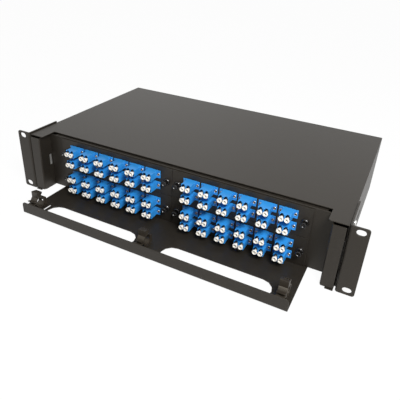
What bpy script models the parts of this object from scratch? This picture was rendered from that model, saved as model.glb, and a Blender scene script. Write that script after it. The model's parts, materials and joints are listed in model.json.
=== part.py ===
"""A sliding 19-inch fibre patch drawer, two rack units high, for Blender 4.5.

Every size is in metres. X runs to the right of the rack, Y to its back and Z up. The pieces are drawn in
rack coordinates, with Y = 0 on the front face of the rack ears and Z = 0 under the chassis, and one empty
carries them all to the part's own origin, the centre of the chassis floor's underside.
"""

from math import cos, pi, radians, sin, sqrt

import bmesh
import bpy

# Sheet metal and running gaps
SHEET = 0.0012
EAR_SHEET = 0.002
GAP = 0.0003
SLIDE_GAP = 0.0006
FLOOR_CLEARANCE = 0.0003

# Rack ears, two rack units high, which make the whole 482.6 mm wide
EAR_REACH = 0.0213
EAR_HEIGHT = 0.088
EAR_DEPTH = 0.055
EAR_BEND = 0.003
EAR_CORNER = 0.003
RACK_HOLE_INSET = 0.00875
RACK_HOLE_PITCH = 0.0762
RACK_HOLE_LENGTH = 0.0104
RACK_HOLE_WIDTH = 0.0073
EAR_SCREW_Y = 0.028
EAR_SCREW_PITCH = 0.062

# Chassis and cover
CHASSIS_HEIGHT = 0.0862
CHASSIS_FRONT = 0.008
REAR_SPACE = 0.022
FLOOR_FRONT = 0.025
FLOOR_TAB_WIDTH = 0.0093
FLOOR_TAB_REACH = 0.0015
COVER_FRONT = 0.026
COVER_TAB_FRONT = 0.002
COVER_TAB_WIDTH = 0.022
COVER_TAB_CORNER = 0.003
SKIRT_DROP = 0.008
SKIRT_FRONT = 0.030
SKIRT_REAR_INSET = 0.020
REAR_RETURN = 0.012
SIDE_SLOT_LENGTH = 0.030
SIDE_SLOT_WIDTH = 0.008
SIDE_SLOT_INSET = 0.146
SIDE_SLOT_Z = 0.031

# Cable entries in the rear panel
ENTRY_RADIUS = 0.0102
ENTRY_Z = 0.043
GLAND_X = 0.150
PLUG_X = 0.105
GLAND_HEX = 0.0135
GLAND_HEX_LENGTH = 0.006
GLAND_DOME_RADIUS = 0.0118
GLAND_DOME_LENGTH = 0.014
GLAND_SHOULDER = 0.0084
GLAND_MOUTH_RADIUS = 0.0083
GLAND_BORE = 0.005
GLAND_THREAD_LENGTH = 0.009
LOCKNUT_LENGTH = 0.005
PLUG_HEAD_RADIUS = 0.013
PLUG_FACE_RADIUS = 0.0104
PLUG_HEAD_LENGTH = 0.003
PLUG_STEM_LENGTH = 0.007

# Drawer
FRAME_MARGIN = 0.0232
SLIDE_SPACE = 0.0146
DRAWER_BACK_INSET = 0.008
SIDE_HEIGHT = 0.0815
FLANGE_EDGE_GAP = 0.0006
FLANGE_CORNER = 0.002
BACK_HEIGHT = 0.040
BACK_NOTCH_WIDTH = 0.050
BACK_NOTCH_X = 0.135
BACK_NOTCH_DEPTH = 0.022
SIDE_WINDOW_Y = 0.0184
SIDE_WINDOW_Z = 0.0445
SIDE_WINDOW_WIDTH = 0.0048
SIDE_WINDOW_HEIGHT = 0.017
SHELF_STEP = 0.0202
SHELF_REACH = 0.0594
SHELF_LIP = 0.0163
SHELF_LIP_CORNER = 0.004
SHELF_BEND = 0.002
SHELF_SLOT_INNER_X = 0.020
SHELF_SLOT_MARGIN = 0.024
SHELF_SLOT_Y = -0.039
SHELF_SLOT_RADIUS = 0.015
SLIT_LENGTH = 0.013
SLIT_WIDTH = 0.0026
SLIT_Y = -0.035
SLIT_INSET = 0.0185

# Adapter frame and plates
FRAME_TOP_FLANGE = 0.010
FRAME_HEIGHT = 0.0805
FRAME_FLANGE_INSET = 0.009
PLATE_Y = 0.020
PLATE_WIDTH = 0.1796
PLATE_HEIGHT = 0.0394
PLATE_SEAM = 0.0004
WINDOW_MARGIN = 0.0030

# Duplex adapters, six columns in two rows on each plate
ADAPTER_COLUMNS = 6
ADAPTER_FIRST_X = 0.028
ADAPTER_PITCH = 0.0248
ADAPTER_ROW_PITCH = 0.016
ADAPTER_FLANGE_WIDTH = 0.0223
ADAPTER_FLANGE_HEIGHT = 0.0104
ADAPTER_FLANGE_THICKNESS = 0.0014
ADAPTER_BODY_WIDTH = 0.013
ADAPTER_BODY_HEIGHT = 0.0098
ADAPTER_FRONT_Y = 0.004
ADAPTER_REAR_Y = 0.034
ADAPTER_FIT = 0.0003
ADAPTER_LINK_HEIGHT = 0.003
ADAPTER_LINK_THICKNESS = 0.001
CAP_PITCH = 0.0069
CAP_RADIUS = 0.0033
CAP_NECK_RADIUS = 0.0021
CAP_FRONT_Y = 0.000
CAP_SIDES = 8

# Plungers that hold the plates to the frame
PLUNGER_INSET = 0.0077
PLUNGER_HEAD_RADIUS = 0.0037
PLUNGER_FACE_RADIUS = 0.0031
PLUNGER_HEAD_Y = 0.012
PLUNGER_HEAD_LENGTH = 0.0025
PLUNGER_STEM_RADIUS = 0.0024
PLUNGER_STEM_REAR = 0.027
PLUNGER_FIT = 0.0004
GROMMET_RADIUS = 0.0048
GROMMET_FACE_RADIUS = 0.0041
GROMMET_STAND = 0.0020

# Ball-bearing slides between the drawer and the chassis
SLIDE_Z = 0.0435
SLIDE_HALF_HEIGHT = 0.0177
SLIDE_FRONT = 0.008
SLIDE_LENGTH = 0.240

# Cable clips on the shelf
CLIP_LEFT_INSET = 0.0080
CLIP_CENTRE_X = -0.004
CLIP_RIGHT_INSET = 0.0108
CLIP_Y = -0.040
CLIP_WIDTH = 0.0102
CLIP_RADIUS = 0.0080
CLIP_WALL = 0.0015
CLIP_FOOT = 0.0027
CLIP_SPLIT = 166
CLIP_SPLIT_GAP = 7
CLIP_REAR_END = 332
CLIP_ARM_START = 30
CLIP_TONGUE_REACH = 0.0055
CLIP_TONGUE_RISE = 0.0014
CLIP_TONGUE_THICKNESS = 0.0011
CLIP_TAB_FRONT = 0.0045
CLIP_TAB_NECK = 0.0040
CLIP_TAB_HEIGHT = 0.0067
CLIP_TAB_DEPTH = 0.0085
CLIP_TAB_EDGE = 0.0016
CLIP_TAB_FALL = 0.0016
CLIP_LEDGE = 0.0018
CLIP_NOTCHES = 4
CLIP_NOTCH_PITCH = 0.0024
CLIP_NOTCH_WIDTH = 0.0013
CLIP_NOTCH_LENGTH = 0.0015
CLIP_NOTCH_DEPTH = 0.0011
CLIP_NOTCH_EDGE = 0.0009
CLIP_CHEEK = 0.0016
CLIP_PIN_RADIUS = 0.0010
CLIP_PIN_ANGLE = 5
CLIP_KNUCKLE_WALL = 0.0010

# Splice tray and fibre guides inside the drawer
TRAY_WIDTH = 0.165
TRAY_DEPTH = 0.105
TRAY_INSET = 0.100
TRAY_WALL = 0.0016
TRAY_HEIGHT = 0.012
TRAY_CORNER = 0.018
TRAY_STAND = 0.003
LID_THICKNESS = 0.0015
STUD_RADIUS = 0.0025
STUD_STAND = 0.0022
KNOB_RADIUS = 0.006
KNOB_TOP_RADIUS = 0.0048
KNOB_LENGTH = 0.007
GUIDE_X = 0.135
GUIDE_INSET = 0.105
GUIDE_RADIUS = 0.030
GUIDE_WALL = 0.002
GUIDE_HEIGHT = 0.014
GUIDE_RIM = 0.004
GUIDE_FOOT = 0.0015

# Screws
SCREW_RADIUS = 0.0018
SCREW_HEAD_RADIUS = 0.0034
SCREW_HEAD_LENGTH = 0.0016
SCREW_FIT = 0.0004
SCREW_SIDES = 12

ROUND_SIDES = 16
OVERLAP = 0.0004

# Places worked out from the sizes above
DRAWER_INNER = PLATE_SEAM / 2 + PLATE_WIDTH + FRAME_MARGIN
DRAWER_HALF_WIDTH = DRAWER_INNER + SHEET
CHASSIS_INNER = DRAWER_HALF_WIDTH + SLIDE_SPACE
CHASSIS_HALF_WIDTH = CHASSIS_INNER + SHEET
RACK_HALF_WIDTH = CHASSIS_HALF_WIDTH + EAR_REACH
SHELF_HALF_WIDTH = DRAWER_HALF_WIDTH - SHELF_STEP
SLIDE_REAR = SLIDE_FRONT + SLIDE_LENGTH
DRAWER_REAR = SLIDE_REAR - DRAWER_BACK_INSET
CHASSIS_REAR = SLIDE_REAR + REAR_SPACE
ORIGIN_Y = -(FLOOR_FRONT + CHASSIS_REAR) / 2
COVER_UNDER = CHASSIS_HEIGHT - SHEET
DRAWER_BOTTOM = SHEET + FLOOR_CLEARANCE
DRAWER_FLOOR = DRAWER_BOTTOM + SHEET
FRAME_Y = PLATE_Y + SHEET + GAP
PLATE_BOTTOM = DRAWER_FLOOR + GAP
EAR_INNER = CHASSIS_HALF_WIDTH + GAP
TRAY_Y = DRAWER_REAR - TRAY_INSET
GUIDE_Y = DRAWER_REAR - GUIDE_INSET
CLIP_FLOOR = DRAWER_FLOOR + GAP
CLIP_Z = CLIP_FLOOR + CLIP_FOOT + CLIP_RADIUS - CLIP_WALL / 2
CLIP_PEAK = CLIP_Z + CLIP_RADIUS + CLIP_TAB_HEIGHT
CLIP_KNUCKLE = CLIP_PIN_RADIUS + GAP + CLIP_KNUCKLE_WALL
CLIP_X = (CLIP_LEFT_INSET - SHELF_HALF_WIDTH, CLIP_CENTRE_X, SHELF_HALF_WIDTH - CLIP_RIGHT_INSET)
ADAPTER_FLANGE_Y = PLATE_Y - GAP - ADAPTER_FLANGE_THICKNESS


def clear_scene():
    for item in list(bpy.data.objects):
        bpy.data.objects.remove(item)


def finish(name, colour, roughness, metallic=0.0):
    """A Principled material of one colour, shared by every piece that asks for it."""
    found = bpy.data.materials.get(name)
    if found:
        return found
    made = bpy.data.materials.new(name)
    made.use_nodes = True
    shader = made.node_tree.nodes["Principled BSDF"]
    shader.inputs["Base Color"].default_value = (*colour, 1.0)
    shader.inputs["Roughness"].default_value = roughness
    shader.inputs["Metallic"].default_value = metallic
    return made


def black_powder():
    return finish("black_powder_coat", (0.035, 0.032, 0.030), 0.55)


def zinc():
    return finish("zinc_plate", (0.62, 0.62, 0.60), 0.3, 1.0)


def black_plastic():
    return finish("black_plastic", (0.012, 0.012, 0.013), 0.3)


def adapter_blue():
    return finish("adapter_blue", (0.03, 0.22, 0.68), 0.35)


def tray_plastic():
    return finish("tray_plastic", (0.80, 0.80, 0.78), 0.45)


# Shapes

def place(axis, a, b, along):
    """A point of an outline drawn across an axis: (y, z) for x, (x, z) for y, (x, y) for z."""
    return {"x": (along, a, b), "y": (a, along, b), "z": (a, b, along)}[axis]


def prism(outline, axis, low, high):
    """A closed outline pushed along an axis."""
    shape = bmesh.new()
    ends = [[shape.verts.new(place(axis, a, b, at)) for a, b in outline] for at in (low, high)]
    for end in ends:
        shape.faces.new(end)
    for i in range(len(outline)):
        j = (i + 1) % len(outline)
        shape.faces.new((ends[0][i], ends[0][j], ends[1][j], ends[1][i]))
    bmesh.ops.recalc_face_normals(shape, faces=shape.faces)
    return shape


def turned(profile, axis, centre, sides=ROUND_SIDES, phase=0.5):
    """A profile of (distance along the axis, radius) points turned about the axis, with closed ends."""
    shape = bmesh.new()
    rings = []
    for along, radius in profile:
        angles = [2 * pi * (k + phase) / sides for k in range(sides)]
        ring = [
            place(axis, centre[0] + radius * cos(t), centre[1] + radius * sin(t), along) for t in angles
        ]
        rings.append([shape.verts.new(point) for point in ring])
    for first, second in zip(rings, rings[1:]):
        for k in range(sides):
            shape.faces.new((first[k], first[(k + 1) % sides], second[(k + 1) % sides], second[k]))
    shape.faces.new(rings[0])
    shape.faces.new(rings[-1])
    bmesh.ops.recalc_face_normals(shape, faces=shape.faces)
    return shape


def block(x, y, z):
    """A box between (low, high) pairs."""
    return prism([(x[0], z[0]), (x[1], z[0]), (x[1], z[1]), (x[0], z[1])], "y", y[0], y[1])


def arc(a, b, radius, start, end, steps=4):
    """Points on an arc about (a, b), with angles in degrees."""
    angles = [radians(start + (end - start) * k / steps) for k in range(steps + 1)]
    return [(a + radius * cos(t), b + radius * sin(t)) for t in angles]


def rounded(a, b, radius, steps=4):
    """A rectangle between (low, high) pairs with round corners."""
    return (
        arc(a[1] - radius, b[1] - radius, radius, 0, 90, steps)
        + arc(a[0] + radius, b[1] - radius, radius, 90, 180, steps)
        + arc(a[0] + radius, b[0] + radius, radius, 180, 270, steps)
        + arc(a[1] - radius, b[0] + radius, radius, 270, 360, steps)
    )


def slotted(a, b, length, width):
    """A slot with round ends, its length along the outline's first direction."""
    radius = width / 2
    reach = length / 2 - radius
    return arc(a + reach, b, radius, -90, 90, 6) + arc(a - reach, b, radius, 90, 270, 6)


def mirrored(outline, side):
    """The outline as drawn for the right side, or its mirror image for the left."""
    return [(side * a, b) for a, b in outline]


def span(side, low, high):
    """An X range given for the right side, or its mirror image."""
    return (low, high) if side > 0 else (-high, -low)


# Objects

def mesh_of(name, shapes):
    mesh = bpy.data.meshes.new(name)
    whole = bmesh.new()
    for shape in shapes:
        shape.to_mesh(mesh)
        whole.from_mesh(mesh)
        shape.free()
    whole.to_mesh(mesh)
    whole.free()
    return mesh


def piece(name, shape, material, carrier):
    """One named piece, in rack coordinates, carried by an empty."""
    made = bpy.data.objects.new(name, mesh_of(name, [shape]))
    made.data.materials.append(material)
    made.data.shade_smooth()
    made.data.set_sharp_from_angle(angle=radians(30))
    bpy.context.scene.collection.objects.link(made)
    hang(made, carrier)
    return made


def hang(item, carrier):
    """Parents an item to an empty that stands at a rack coordinate, and keeps it where it was drawn."""
    item.parent = carrier
    if carrier.get("at"):
        item.location = [-value for value in carrier["at"]]


def change(target, operation, shapes):
    """Cuts the shapes out of a piece, joins them to it or keeps only what lies inside them."""
    name = f"{target.name}_{operation.lower()}_{len(target.modifiers)}"
    tool = bpy.data.objects.new(name, mesh_of(name, shapes))
    tool.hide_render = True
    tool.display_type = "WIRE"
    bpy.context.scene.collection.objects.link(tool)
    tool.parent = target.parent
    tool.location = target.location
    modifier = target.modifiers.new(operation.title(), "BOOLEAN")
    modifier.operation = operation
    modifier.solver = "EXACT"
    modifier.object = tool


def cut(target, *shapes):
    change(target, "DIFFERENCE", shapes)


def join(target, *shapes):
    change(target, "UNION", shapes)


def keep(target, *shapes):
    change(target, "INTERSECT", shapes)


def empty(name, location, carrier=None):
    made = bpy.data.objects.new(name, None)
    bpy.context.scene.collection.objects.link(made)
    made.location = location
    if carrier:
        made.parent = carrier
        made["at"] = location
    return made


def side_name(side):
    return "right" if side > 0 else "left"


# Chassis

def chassis_base(rack):
    """A floor and two side walls, with a tab of the floor that runs forwards under each drawer flange."""
    half = CHASSIS_HALF_WIDTH
    top = COVER_UNDER - GAP
    section = [
        (-half, 0), (half, 0), (half, top), (CHASSIS_INNER, top),
        (CHASSIS_INNER, SHEET), (-CHASSIS_INNER, SHEET), (-CHASSIS_INNER, top), (-half, top),
    ]
    base = piece("chassis_base", prism(section, "y", -FLOOR_TAB_REACH, CHASSIS_REAR), black_powder(), rack)
    tab_end = CHASSIS_INNER - GAP
    tab_start = tab_end - FLOOR_TAB_WIDTH
    ahead = -FLOOR_TAB_REACH - SHEET
    front_gap = block((-tab_start, tab_start), (ahead, FLOOR_FRONT), (-SHEET, 2 * SHEET))
    wall_gaps = [
        block(span(side, tab_end, half + SHEET), (ahead, CHASSIS_FRONT), (-SHEET, top + SHEET)) for side in (-1, 1)
    ]
    slots = [
        prism(
            slotted(CHASSIS_REAR - SIDE_SLOT_INSET, SIDE_SLOT_Z, SIDE_SLOT_LENGTH, SIDE_SLOT_WIDTH),
            "x", *span(side, CHASSIS_INNER - SHEET, half + SHEET),
        )
        for side in (-1, 1)
    ]
    screw_holes = [
        turned([(low, SCREW_RADIUS + SCREW_FIT), (high, SCREW_RADIUS + SCREW_FIT)], "x", (EAR_SCREW_Y, z),
               SCREW_SIDES)
        for side in (-1, 1)
        for low, high in [span(side, CHASSIS_INNER - SHEET, half + SHEET)]
        for z in ear_screw_heights()
    ]
    cut(base, front_gap, *wall_gaps, *slots, *screw_holes)


def rear_panel(rack):
    """A sheet between the chassis sides, with its ends folded forwards."""
    half = CHASSIS_INNER - GAP
    front = CHASSIS_REAR - REAR_RETURN
    face = CHASSIS_REAR - SHEET
    section = [
        (-half, front), (SHEET - half, front), (SHEET - half, face), (half - SHEET, face),
        (half - SHEET, front), (half, front), (half, CHASSIS_REAR), (-half, CHASSIS_REAR),
    ]
    panel = piece("rear_panel", prism(section, "z", SHEET + GAP, COVER_UNDER - GAP), black_powder(), rack)
    entries = [
        turned([(face - SHEET, ENTRY_RADIUS), (CHASSIS_REAR + SHEET, ENTRY_RADIUS)], "y", (x, ENTRY_Z))
        for x in (-GLAND_X, -PLUG_X, PLUG_X, GLAND_X)
    ]
    cut(panel, *entries)


def top_cover(rack):
    half = CHASSIS_HALF_WIDTH
    inner = half - COVER_TAB_WIDTH
    corner = COVER_TAB_CORNER
    right = [(inner, COVER_FRONT)]
    right += arc(inner + corner, COVER_TAB_FRONT + corner, corner, 180, 270)
    right += [(half, COVER_TAB_FRONT), (half, CHASSIS_REAR)]
    outline = right + [(-x, y) for x, y in reversed(right)]
    cover = piece("top_cover", prism(outline, "z", COVER_UNDER, CHASSIS_HEIGHT), black_powder(), rack)
    skirt_top = COVER_UNDER + SHEET / 2
    skirts = [
        block(
            span(side, CHASSIS_INNER - GAP - SHEET, CHASSIS_INNER - GAP),
            (SKIRT_FRONT, CHASSIS_REAR - SKIRT_REAR_INSET), (COVER_UNDER - SKIRT_DROP, skirt_top),
        )
        for side in (-1, 1)
    ]
    join(cover, *skirts)


def ear_screw_heights():
    return [EAR_HEIGHT / 2 - EAR_SCREW_PITCH / 2, EAR_HEIGHT / 2 + EAR_SCREW_PITCH / 2]


def rack_ear(rack, side):
    outer = RACK_HALF_WIDTH
    leg = EAR_INNER + EAR_SHEET
    bend = EAR_BEND - EAR_SHEET
    section = [(outer, 0), (outer, EAR_SHEET), (leg + bend, EAR_SHEET)]
    section += arc(leg + bend, EAR_BEND, bend, 270, 180)[1:]
    section += [(leg, EAR_DEPTH), (EAR_INNER, EAR_DEPTH)]
    section += arc(EAR_INNER + EAR_BEND, EAR_BEND, EAR_BEND, 180, 270)
    ear = piece(
        f"rack_ear_{side_name(side)}", prism(mirrored(section, side), "z", 0, EAR_HEIGHT), black_powder(), rack
    )
    face = rounded((EAR_INNER - outer, outer), (0, EAR_HEIGHT), EAR_CORNER)
    keep(ear, prism(mirrored(face, side), "y", -EAR_SHEET, EAR_DEPTH + EAR_SHEET))
    middle = EAR_HEIGHT / 2
    rack_holes = [
        prism(
            slotted(side * (outer - RACK_HOLE_INSET), z, RACK_HOLE_LENGTH, RACK_HOLE_WIDTH),
            "y", -EAR_SHEET, 2 * EAR_SHEET,
        )
        for z in (middle - RACK_HOLE_PITCH / 2, middle + RACK_HOLE_PITCH / 2)
    ]
    low, high = span(side, EAR_INNER - EAR_SHEET, leg + EAR_SHEET)
    screw_holes = [
        turned([(low, SCREW_RADIUS + SCREW_FIT), (high, SCREW_RADIUS + SCREW_FIT)], "x", (EAR_SCREW_Y, z),
               SCREW_SIDES)
        for z in ear_screw_heights()
    ]
    cut(ear, *rack_holes, *screw_holes)


def ear_screws(rack, side):
    seat = EAR_INNER + EAR_SHEET + GAP
    tip = CHASSIS_INNER - SHEET
    for level, z in zip(("lower", "upper"), ear_screw_heights()):
        profile = [
            (tip, SCREW_RADIUS), (seat, SCREW_RADIUS), (seat, SCREW_HEAD_RADIUS),
            (seat + SCREW_HEAD_LENGTH / 2, SCREW_HEAD_RADIUS), (seat + SCREW_HEAD_LENGTH, SCREW_HEAD_RADIUS / 2),
        ]
        screw = turned([(side * x, r) for x, r in profile], "x", (EAR_SCREW_Y, z), SCREW_SIDES)
        piece(f"ear_screw_{side_name(side)}_{level}", screw, zinc(), rack)


# Cable entries

def cable_gland(rack, side):
    """A hexagonal gland body with its threaded neck through the panel, and the locknut inside."""
    inside = CHASSIS_REAR - SHEET - GAP
    neck = ENTRY_RADIUS - GAP
    hexagon = CHASSIS_REAR + GAP
    dome = hexagon + GLAND_HEX_LENGTH
    centre = (side * GLAND_X, ENTRY_Z)
    name = side_name(side)
    body = piece(
        f"gland_body_{name}",
        turned(
            [
                (inside - GLAND_THREAD_LENGTH, neck), (dome + OVERLAP, neck), (dome + OVERLAP, GLAND_DOME_RADIUS),
                (dome + GLAND_SHOULDER, GLAND_DOME_RADIUS),
                (dome + GLAND_DOME_LENGTH, GLAND_MOUTH_RADIUS),
            ],
            "y", centre,
        ),
        black_plastic(), rack,
    )
    join(body, turned([(hexagon, GLAND_HEX), (dome, GLAND_HEX)], "y", centre, 6))
    through = [
        (inside - 2 * GLAND_THREAD_LENGTH, GLAND_BORE), (dome + 2 * GLAND_DOME_LENGTH, GLAND_BORE),
    ]
    cut(body, turned(through, "y", centre))
    locknut = piece(
        f"gland_locknut_{name}",
        turned([(inside - LOCKNUT_LENGTH, GLAND_HEX), (inside, GLAND_HEX)], "y", centre, 6),
        black_plastic(), rack,
    )
    cut(locknut, turned([(inside - 2 * LOCKNUT_LENGTH, ENTRY_RADIUS), (inside + SHEET, ENTRY_RADIUS)], "y", centre))


def blanking_plug(rack, side):
    inner = CHASSIS_REAR - SHEET
    profile = [
        (inner - PLUG_STEM_LENGTH, ENTRY_RADIUS - GAP), (CHASSIS_REAR + GAP, ENTRY_RADIUS - GAP),
        (CHASSIS_REAR + GAP, PLUG_HEAD_RADIUS), (CHASSIS_REAR + GAP + PLUG_HEAD_LENGTH / 2, PLUG_HEAD_RADIUS),
        (CHASSIS_REAR + GAP + PLUG_HEAD_LENGTH, PLUG_FACE_RADIUS),
    ]
    piece(
        f"blanking_plug_{side_name(side)}", turned(profile, "y", (side * PLUG_X, ENTRY_Z)), black_plastic(), rack
    )


# Slides

def channel(rack, name, side, web, inward, half_height):
    """A C-shaped slide member: its web from web to web + or - one sheet, its flanges out to inward."""
    step = SHEET if inward > web else -SHEET
    z = SLIDE_Z
    section = [
        (web, z - half_height), (inward, z - half_height), (inward, z - half_height + SHEET),
        (web + step, z - half_height + SHEET), (web + step, z + half_height - SHEET),
        (inward, z + half_height - SHEET), (inward, z + half_height), (web, z + half_height),
    ]
    shape = prism(mirrored(section, side), "y", SLIDE_FRONT, SLIDE_FRONT + SLIDE_LENGTH)
    piece(f"{name}_{side_name(side)}", shape, zinc(), rack)


def slides(rack, side):
    """Three nested members: one on the chassis, one between, one on the drawer."""
    outer_web = CHASSIS_INNER - GAP
    inner_web = DRAWER_HALF_WIDTH + GAP
    middle_web = outer_web - SHEET - SLIDE_GAP
    lips = inner_web + SHEET + SLIDE_GAP
    step = SHEET + SLIDE_GAP
    channel(rack, "slide_outer", side, outer_web, lips, SLIDE_HALF_HEIGHT)
    channel(rack, "slide_middle", side, middle_web, lips, SLIDE_HALF_HEIGHT - step)
    channel(rack, "slide_inner", side, inner_web, middle_web - step, SLIDE_HALF_HEIGHT - 2 * step)


# Drawer

def shelf_tray(rack):
    """The drawer's floor, narrower where it runs out as a shelf, with the lip folded up at its front."""
    half = DRAWER_INNER - GAP
    fold = -SHELF_REACH + 2 * SHELF_BEND
    neck = FRAME_Y + SHEET + GAP
    floor = [
        (-SHELF_HALF_WIDTH, fold), (SHELF_HALF_WIDTH, fold), (SHELF_HALF_WIDTH, neck), (half, neck),
        (half, DRAWER_REAR), (-half, DRAWER_REAR), (-half, neck), (-SHELF_HALF_WIDTH, neck),
    ]
    tray = piece("shelf_tray", prism(floor, "z", DRAWER_BOTTOM, DRAWER_FLOOR), black_powder(), rack)
    top = DRAWER_FLOOR + SHELF_LIP - SHEET
    bend = SHELF_BEND - SHEET
    front = -SHELF_REACH
    lip = arc(front + SHELF_BEND, DRAWER_BOTTOM + SHELF_BEND, SHELF_BEND, 180, 270)
    lip += [(fold + OVERLAP, DRAWER_BOTTOM), (fold + OVERLAP, DRAWER_FLOOR)]
    lip += arc(front + SHELF_BEND, DRAWER_FLOOR + bend, bend, 270, 180)
    lip += [(front + SHEET, top), (front, top)]
    join(tray, prism(lip, "x", -SHELF_HALF_WIDTH, SHELF_HALF_WIDTH))
    corner = SHELF_LIP_CORNER
    corner_cuts = [
        prism(
            mirrored(
                [(SHELF_HALF_WIDTH + corner, top + corner), (SHELF_HALF_WIDTH - corner, top + corner)]
                + arc(SHELF_HALF_WIDTH - corner, top - corner, corner, 90, 0)
                + [(SHELF_HALF_WIDTH + corner, top - corner)],
                side,
            ),
            "y", front - SHEET, front + 2 * SHEET,
        )
        for side in (-1, 1)
    ]
    slot_outer = SHELF_HALF_WIDTH - SHELF_SLOT_MARGIN
    slot_middle = (SHELF_SLOT_INNER_X + slot_outer) / 2
    slots = [
        prism(
            slotted(side * slot_middle, SHELF_SLOT_Y, slot_outer - SHELF_SLOT_INNER_X, 2 * SHELF_SLOT_RADIUS),
            "z", DRAWER_BOTTOM - SHEET, DRAWER_FLOOR + SHEET,
        )
        for side in (-1, 1)
    ]
    slit_x = SLIT_INSET - SHELF_HALF_WIDTH
    slit = block(
        (slit_x - SLIT_WIDTH / 2, slit_x + SLIT_WIDTH / 2), (SLIT_Y - SLIT_LENGTH / 2, SLIT_Y + SLIT_LENGTH / 2),
        (DRAWER_BOTTOM - SHEET, DRAWER_FLOOR + SHEET),
    )
    cut(tray, *corner_cuts, *slots, slit)


def drawer_side(rack, side):
    """A side wall folded outwards at the front into the flange beside the rack ear."""
    outer = DRAWER_HALF_WIDTH
    edge = CHASSIS_INNER - FLANGE_EDGE_GAP
    section = [
        (DRAWER_INNER, DRAWER_REAR), (DRAWER_INNER, SHEET), (DRAWER_INNER + SHEET, 0), (edge, 0),
        (edge, SHEET), (outer, SHEET), (outer, DRAWER_REAR),
    ]
    top = DRAWER_BOTTOM + SIDE_HEIGHT
    wall = piece(
        f"drawer_side_{side_name(side)}", prism(mirrored(section, side), "z", DRAWER_BOTTOM, top),
        black_powder(), rack,
    )
    window = block(
        span(side, DRAWER_INNER - SHEET, outer + SHEET),
        (SIDE_WINDOW_Y - SIDE_WINDOW_WIDTH / 2, SIDE_WINDOW_Y + SIDE_WINDOW_WIDTH / 2),
        (SIDE_WINDOW_Z - SIDE_WINDOW_HEIGHT / 2, SIDE_WINDOW_Z + SIDE_WINDOW_HEIGHT / 2),
    )
    radius = FLANGE_CORNER
    corner = [(DRAWER_INNER - radius, DRAWER_BOTTOM + radius), (DRAWER_INNER - radius, DRAWER_BOTTOM - radius)]
    corner += [(DRAWER_INNER + radius, DRAWER_BOTTOM - radius)]
    corner += arc(DRAWER_INNER + radius, DRAWER_BOTTOM + radius, radius, 270, 180)
    cut(wall, window, prism(mirrored(corner, side), "y", -SHEET, 2 * SHEET))


def drawer_back(rack):
    """A low wall across the drawer, notched where the cables come in."""
    half = DRAWER_INNER - GAP
    low = DRAWER_FLOOR + GAP
    high = low + BACK_HEIGHT
    wall = piece(
        "drawer_back", block((-half, half), (DRAWER_REAR - SHEET, DRAWER_REAR), (low, high)), black_powder(), rack
    )
    notches = [
        block(
            (x - BACK_NOTCH_WIDTH / 2, x + BACK_NOTCH_WIDTH / 2),
            (DRAWER_REAR - 2 * SHEET, DRAWER_REAR + SHEET), (high - BACK_NOTCH_DEPTH, high + SHEET),
        )
        for x in (-BACK_NOTCH_X, BACK_NOTCH_X)
    ]
    cut(wall, *notches)


def plate_centres():
    """The four plates as (name, side, middle of the plate in X, in Z)."""
    low = PLATE_BOTTOM + PLATE_HEIGHT / 2
    high = low + PLATE_HEIGHT + PLATE_SEAM
    x = PLATE_SEAM / 2 + PLATE_WIDTH / 2
    return [
        (f"{level}_{side_name(side)}", side, side * x, z)
        for level, z in (("upper", high), ("lower", low))
        for side in (-1, 1)
    ]


def plunger_places(side, x, z):
    """The two plungers of a plate, at the ends of its middle line."""
    reach = PLATE_WIDTH / 2 - PLUNGER_INSET
    return [("inner", x - side * reach, z), ("outer", x + side * reach, z)]


def adapter_places(side):
    return [side * (ADAPTER_FIRST_X + k * ADAPTER_PITCH) for k in range(ADAPTER_COLUMNS)]


def adapter_frame(rack):
    """The sheet behind the plates, with a window for each plate and a flange along its top."""
    half = DRAWER_INNER - GAP
    low = DRAWER_FLOOR + GAP
    high = low + FRAME_HEIGHT
    rear = FRAME_Y + SHEET
    frame = piece("adapter_frame", block((-half, half), (FRAME_Y, rear), (low, high)), black_powder(), rack)
    flange = DRAWER_INNER - FRAME_FLANGE_INSET
    join(
        frame,
        block((-flange, flange), (FRAME_Y + OVERLAP, FRAME_Y + FRAME_TOP_FLANGE), (high - SHEET, high)),
    )
    reach = (ADAPTER_COLUMNS - 1) * ADAPTER_PITCH / 2 + ADAPTER_BODY_WIDTH / 2 + WINDOW_MARGIN
    rise = ADAPTER_ROW_PITCH / 2 + ADAPTER_BODY_HEIGHT / 2 + WINDOW_MARGIN
    cuts = []
    for _, side, x, z in plate_centres():
        middle = side * (ADAPTER_FIRST_X + (ADAPTER_COLUMNS - 1) * ADAPTER_PITCH / 2)
        cuts.append(block((middle - reach, middle + reach), (FRAME_Y - SHEET, rear + SHEET), (z - rise, z + rise)))
        for _, hole_x, hole_z in plunger_places(side, x, z):
            radius = PLUNGER_STEM_RADIUS + PLUNGER_FIT
            cuts.append(turned([(FRAME_Y - SHEET, radius), (rear + SHEET, radius)], "y", (hole_x, hole_z), 12))
    cut(frame, *cuts)


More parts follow.
